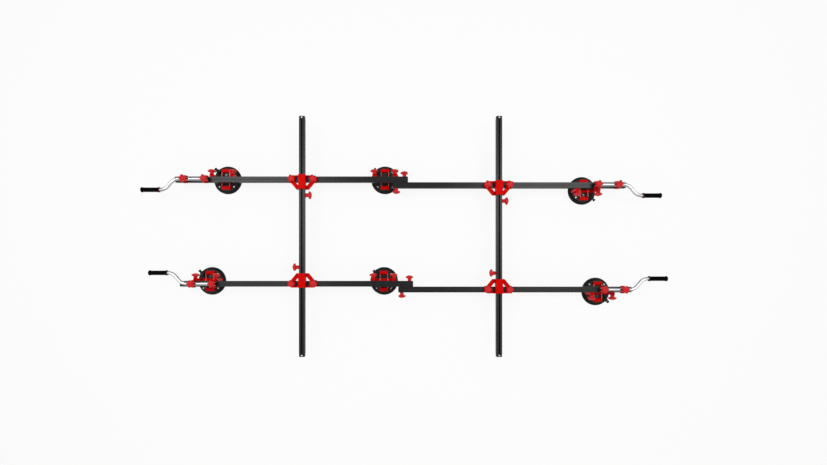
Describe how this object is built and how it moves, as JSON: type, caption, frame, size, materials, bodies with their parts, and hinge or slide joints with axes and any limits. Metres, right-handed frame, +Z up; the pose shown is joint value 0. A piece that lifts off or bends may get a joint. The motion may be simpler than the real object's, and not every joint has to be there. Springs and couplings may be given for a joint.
{
  "type": "slab carrying frame",
  "caption": "Telescoping slotted rails joined by cross bars with red clamp brackets, carried by crank handles, with vacuum cups below to lift a large flat slab.",
  "frame": {"origin": "on the floor under the cups, midway between the outermost grip ends and the cross bars' ends", "axes": "+X along the rails, +Y along the cross bars, +Z up"},
  "size_m": [3.637, 1.66, 0.1793],
  "materials": {
    "black_anodised": "black anodised extrusion",
    "black_plastic": "black plastic",
    "black_rubber": "matt black rubber",
    "chrome_tube": "chromed steel tube",
    "dark_plate": "dark grey moulded plate",
    "red_casting": "red powder coated casting",
    "red_knob": "red moulded plastic, slightly glossy"
  },
  "bodies": {
    "rail_rear_left": {"rail_rear_left": "black_anodised"},
    "crossing_rear_left": {"bracket_rear_left": "red_casting", "bracket_knobs_rear_left": "red_knob"},
    "rail_front_left": {"rail_front_left": "black_anodised"},
    "crossing_front_left": {"bracket_front_left": "red_casting", "bracket_knobs_front_left": "red_knob"},
    "rail_rear_right": {"rail_rear_right": "black_anodised"},
    "crossing_rear_right": {"bracket_rear_right": "red_casting", "bracket_knobs_rear_right": "red_knob"},
    "rail_front_right": {"rail_front_right": "black_anodised"},
    "crossing_front_right": {"bracket_front_right": "red_casting", "bracket_knobs_front_right": "red_knob"},
    "cross_bar_left": {"cross_bar_left": "black_anodised"},
    "cross_bar_right": {"cross_bar_right": "black_anodised"},
    "handle_rear_left": {"handle_clamps_rear_left": "red_casting"},
    "crank_rear_left": {"crank_rear_left": "chrome_tube", "grip_rear_left": "black_rubber"},
    "extension_knob_rear_left": {"extension_knob_rear_left": "red_knob"},
    "cup_1": {"cup_1_pad": "black_rubber", "cup_1_plate": "dark_plate", "cup_1_bridge": "red_casting", "cup_1_knobs": "red_knob"},
    "cup_1_pump": {"cup_1_plunger": "black_plastic"},
    "cup_2": {"cup_2_pad": "black_rubber", "cup_2_plate": "dark_plate", "cup_2_bridge": "red_casting", "cup_2_knobs": "red_knob"},
    "cup_2_pump": {"cup_2_plunger": "black_plastic"},
    "handle_front_left": {"handle_clamps_front_left": "red_casting"},
    "crank_front_left": {"crank_front_left": "chrome_tube", "grip_front_left": "black_rubber"},
    "extension_knob_front_left": {"extension_knob_front_left": "red_knob"},
    "cup_3": {"cup_3_pad": "black_rubber", "cup_3_plate": "dark_plate", "cup_3_bridge": "red_casting", "cup_3_knobs": "red_knob"},
    "cup_3_pump": {"cup_3_plunger": "black_plastic"},
    "cup_4": {"cup_4_pad": "black_rubber", "cup_4_plate": "dark_plate", "cup_4_bridge": "red_casting", "cup_4_knobs": "red_knob"},
    "cup_4_pump": {"cup_4_plunger": "black_plastic"},
    "handle_rear_right": {"handle_clamps_rear_right": "red_casting"},
    "crank_rear_right": {"crank_rear_right": "chrome_tube", "grip_rear_right": "black_rubber"},
    "extension_knob_rear_right": {"extension_knob_rear_right": "red_knob"},
    "cup_5": {"cup_5_pad": "black_rubber", "cup_5_plate": "dark_plate", "cup_5_bridge": "red_casting", "cup_5_knobs": "red_knob"},
    "cup_5_pump": {"cup_5_plunger": "black_plastic"},
    "handle_front_right": {"handle_clamps_front_right": "red_casting"},
    "crank_front_right": {"crank_front_right": "chrome_tube", "grip_front_right": "black_rubber"},
    "extension_knob_front_right": {"extension_knob_front_right": "red_knob"},
    "cup_6": {"cup_6_pad": "black_rubber", "cup_6_plate": "dark_plate", "cup_6_bridge": "red_casting", "cup_6_knobs": "red_knob"},
    "cup_6_pump": {"cup_6_plunger": "black_plastic"}
  },
  "joints": [
    {"name": "telescope", "type": "slide", "parent": "rail_rear_left", "child": "rail_rear_right", "axis": [1, 0, 0], "range_m": [-0.3, 0.03]},
    {"name": "crossing_slide_left", "type": "slide", "parent": "rail_rear_left", "child": "crossing_rear_left", "axis": [1, 0, 0], "range_m": [-0.1, 0.1]},
    {"name": "cross_bar_slide_left", "type": "slide", "parent": "crossing_rear_left", "child": "cross_bar_left", "axis": [0, 1, 0], "range_m": [-0.1, 0.1]},
    {"name": "spread_slide_left", "type": "slide", "parent": "cross_bar_left", "child": "crossing_front_left", "axis": [0, 1, 0], "range_m": [-0.1, 0.1]},
    {"name": "front_rail_slide_left", "type": "slide", "parent": "crossing_front_left", "child": "rail_front_left", "axis": [1, 0, 0], "range_m": [-0.1, 0.1]},
    {"name": "crossing_slide_right", "type": "slide", "parent": "rail_rear_right", "child": "crossing_rear_right", "axis": [1, 0, 0], "range_m": [-0.1, 0.1]},
    {"name": "cross_bar_slide_right", "type": "slide", "parent": "crossing_rear_right", "child": "cross_bar_right", "axis": [0, 1, 0], "range_m": [-0.1, 0.1]},
    {"name": "spread_slide_right", "type": "slide", "parent": "cross_bar_right", "child": "crossing_front_right", "axis": [0, 1, 0], "range_m": [-0.1, 0.1]},
    {"name": "front_rail_slide_right", "type": "slide", "parent": "crossing_front_right", "child": "rail_front_right", "axis": [1, 0, 0], "range_m": [-0.1, 0.1]},
    {"name": "handle_slide_rear_left", "type": "slide", "parent": "rail_rear_left", "child": "handle_rear_left", "axis": [-1, 0, 0], "range_m": [-0.015, 0.04]},
    {"name": "crank_turn_rear_left", "type": "hinge", "parent": "handle_rear_left", "child": "crank_rear_left", "pos_m": [-1.515, 0.40015, 0.1413], "axis": [-1, 0, 0], "range_deg": [0, 180]},
    {"name": "extension_knob_turn_rear_left", "type": "hinge", "parent": "rail_rear_left", "child": "extension_knob_rear_left", "pos_m": [0.008, 0.40015, 0.11], "axis": [0, 1, 0], "range_deg": [0, 450]},
    {"name": "cup_1_slide", "type": "slide", "parent": "rail_rear_left", "child": "cup_1", "axis": [1, 0, 0], "range_m": [-0.1, 0.1]},
    {"name": "cup_1_pump_press", "type": "slide", "parent": "cup_1", "child": "cup_1_pump", "axis": [0.7071, -0.7071, 0], "range_m": [0, 0.009], "stiffness_N_per_m": 600, "springref_m": -0.004},
    {"name": "cup_2_slide", "type": "slide", "parent": "rail_rear_left", "child": "cup_2", "axis": [1, 0, 0], "range_m": [-0.2, 0.01]},
    {"name": "cup_2_pump_press", "type": "slide", "parent": "cup_2", "child": "cup_2_pump", "axis": [0.7071, -0.7071, 0], "range_m": [0, 0.009], "stiffness_N_per_m": 600, "springref_m": -0.004},
    {"name": "handle_slide_front_left", "type": "slide", "parent": "rail_front_left", "child": "handle_front_left", "axis": [-1, 0, 0], "range_m": [-0.015, 0.04]},
    {"name": "crank_turn_front_left", "type": "hinge", "parent": "handle_front_left", "child": "crank_front_left", "pos_m": [-1.461, -0.32685, 0.1413], "axis": [1, 0, 0], "range_deg": [0, 180]},
    {"name": "extension_knob_turn_front_left", "type": "hinge", "parent": "rail_front_left", "child": "extension_knob_front_left", "pos_m": [0.044, -0.32685, 0.11], "axis": [0, 1, 0], "range_deg": [0, 450]},
    {"name": "cup_3_slide", "type": "slide", "parent": "rail_front_left", "child": "cup_3", "axis": [1, 0, 0], "range_m": [-0.03, 0.1]},
    {"name": "cup_3_pump_press", "type": "slide", "parent": "cup_3", "child": "cup_3_pump", "axis": [0.7071, -0.7071, 0], "range_m": [0, 0.009], "stiffness_N_per_m": 600, "springref_m": -0.004},
    {"name": "cup_4_slide", "type": "slide", "parent": "rail_front_left", "child": "cup_4", "axis": [1, 0, 0], "range_m": [-0.2, 0.03]},
    {"name": "cup_4_pump_press", "type": "slide", "parent": "cup_4", "child": "cup_4_pump", "axis": [0.7071, -0.7071, 0], "range_m": [0, 0.009], "stiffness_N_per_m": 600, "springref_m": -0.004},
    {"name": "handle_slide_rear_right", "type": "slide", "parent": "rail_rear_right", "child": "handle_rear_right", "axis": [1, 0, 0], "range_m": [-0.015, 0.032]},
    {"name": "crank_turn_rear_right", "type": "hinge", "parent": "handle_rear_right", "child": "crank_rear_right", "pos_m": [1.485, 0.35985, 0.1413], "axis": [-1, 0, 0], "range_deg": [0, 180]},
    {"name": "extension_knob_turn_rear_right", "type": "hinge", "parent": "rail_rear_right", "child": "extension_knob_rear_right", "pos_m": [-0.049, 0.35985, 0.11], "axis": [0, -1, 0], "range_deg": [0, 450]},
    {"name": "cup_5_slide", "type": "slide", "parent": "rail_rear_right", "child": "cup_5", "axis": [1, 0, 0], "range_m": [-0.1, 0.05]},
    {"name": "cup_5_pump_press", "type": "slide", "parent": "cup_5", "child": "cup_5_pump", "axis": [-0.7071, 0.7071, 0], "range_m": [0, 0.009], "stiffness_N_per_m": 600, "springref_m": -0.004},
    {"name": "handle_slide_front_right", "type": "slide", "parent": "rail_front_right", "child": "handle_front_right", "axis": [1, 0, 0], "range_m": [-0.015, 0.03]},
    {"name": "crank_turn_front_right", "type": "hinge", "parent": "handle_front_right", "child": "crank_front_right", "pos_m": [1.526, -0.36715, 0.1413], "axis": [1, 0, 0], "range_deg": [0, 180]},
    {"name": "extension_knob_turn_front_right", "type": "hinge", "parent": "rail_front_right", "child": "extension_knob_front_right", "pos_m": [-0.01, -0.36715, 0.11], "axis": [0, -1, 0], "range_deg": [0, 450]},
    {"name": "cup_6_slide", "type": "slide", "parent": "rail_front_right", "child": "cup_6", "axis": [1, 0, 0], "range_m": [-0.1, 0.03]},
    {"name": "cup_6_pump_press", "type": "slide", "parent": "cup_6", "child": "cup_6_pump", "axis": [-0.7071, 0.7071, 0], "range_m": [0, 0.009], "stiffness_N_per_m": 600, "springref_m": -0.004}
  ],
  "couplings": [
    {"joint": "cross_bar_slide_right", "follows": "cross_bar_slide_left", "ratio": 1},
    {"joint": "spread_slide_right", "follows": "spread_slide_left", "ratio": 1},
    {"joint": "front_rail_slide_left", "follows": "crossing_slide_left", "ratio": -1},
    {"joint": "front_rail_slide_right", "follows": "crossing_slide_right", "ratio": -1}
  ]
}
